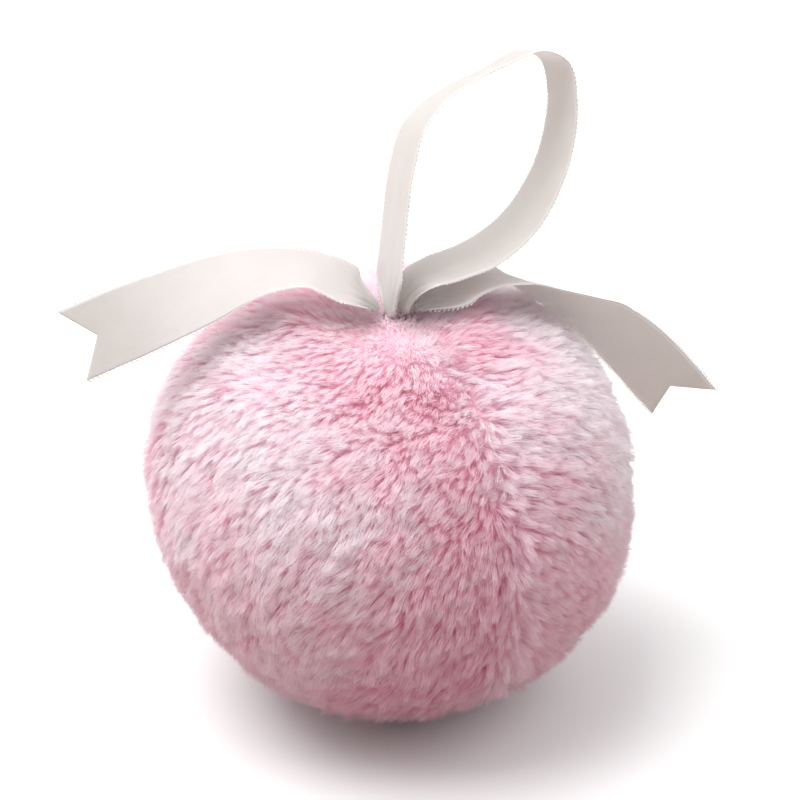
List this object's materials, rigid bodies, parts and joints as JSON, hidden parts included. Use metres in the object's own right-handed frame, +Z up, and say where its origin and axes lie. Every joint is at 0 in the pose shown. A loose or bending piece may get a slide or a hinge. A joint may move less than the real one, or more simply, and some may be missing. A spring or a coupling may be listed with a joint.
{
  "type": "powder puff",
  "caption": "Round plush powder puff, gathered at the top, with a satin ribbon hanging loop and two V-cut ribbon tails.",
  "frame": {"origin": "centre of the flat underside that the puff rests on", "axes": "+Z up through the gathered mouth, -Y the front, +X to the right as seen from the front"},
  "size_m": [0.1166, 0.085, 0.117],
  "materials": {
    "plush": "long pink plush pile",
    "fibre": "loose white polyester fibre",
    "thread": "pale pink sewing thread",
    "satin": "white satin with woven selvages"
  },
  "bodies": {
    "puff": {"plush_panel_left": "plush", "plush_panel_right": "plush", "fibre_filling": "fibre", "seam_thread": "thread", "gathering_thread": "thread", "ribbon_tack": "thread"},
    "loop": {"ribbon_loop": "satin"},
    "left_tail": {"ribbon_tail_left": "satin"},
    "right_tail": {"ribbon_tail_right": "satin"}
  },
  "joints": [
    {"name": "loop_sway", "type": "hinge", "parent": "puff", "child": "loop", "pos_m": [0.0012, 0, 0.07721], "axis": [0.9205, 0.3907, 0], "range_deg": [-3, 40]},
    {"name": "left_tail_lift", "type": "hinge", "parent": "puff", "child": "left_tail", "pos_m": [-0.00202, 0, 0.07725], "axis": [0, 1, 0], "range_deg": [-6, 50]},
    {"name": "right_tail_swing", "type": "hinge", "parent": "puff", "child": "right_tail", "pos_m": [0.00442, 0, 0.07623], "axis": [0, 0, 1], "range_deg": [-50, 0]}
  ]
}
